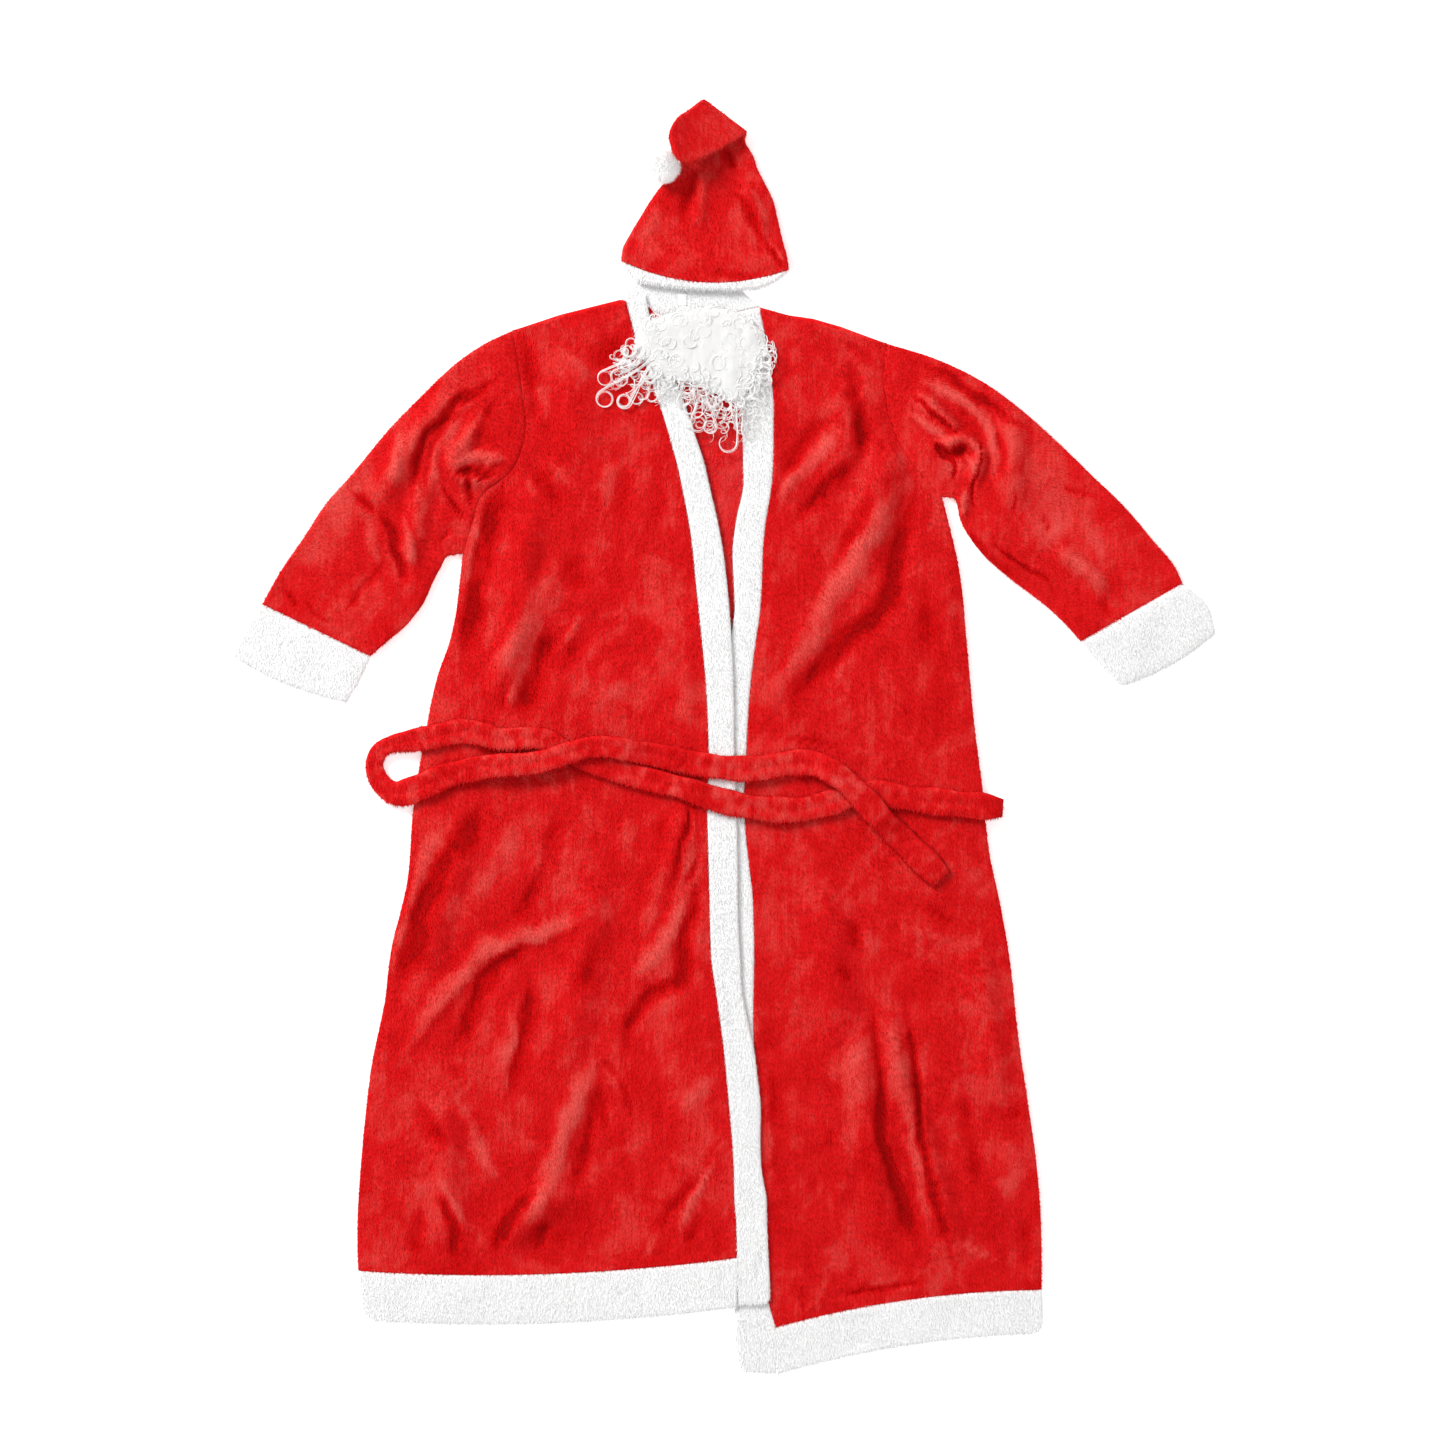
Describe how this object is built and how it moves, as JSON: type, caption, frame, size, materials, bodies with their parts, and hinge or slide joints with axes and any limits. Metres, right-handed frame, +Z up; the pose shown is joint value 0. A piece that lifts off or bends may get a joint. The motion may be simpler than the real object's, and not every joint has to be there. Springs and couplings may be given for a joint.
{
  "type": "santa suit",
  "caption": "Red plush Santa robe with white trim, laid flat with its tie belt, pointed hat and curly white beard.",
  "frame": {"origin": "on the surface the suit lies on, under the middle of its outline", "axes": "+Z up from the surface, +Y from the hem towards the hat, +X towards the suit's right side as seen from above"},
  "size_m": [1.1032, 1.4276, 0.0425],
  "materials": {
    "red_plush": "matte",
    "white_plush": "matte",
    "label_cloth": "satin",
    "curly_hair": "satin"
  },
  "bodies": {
    "root": {"back": "red_plush", "hem_back": "white_plush", "front_left": "red_plush", "front_right": "red_plush", "hem_left": "white_plush", "hem_right": "white_plush", "band_left": "white_plush", "band_right": "white_plush", "sleeve_left": "red_plush", "sleeve_right": "red_plush", "cuff_left": "white_plush", "cuff_right": "white_plush", "collar": "white_plush", "neck_label": "label_cloth", "belt": "red_plush", "hat_crown": "red_plush", "hat_band": "white_plush", "pompom": "white_plush", "beard": "curly_hair"}
  },
  "joints": []
}
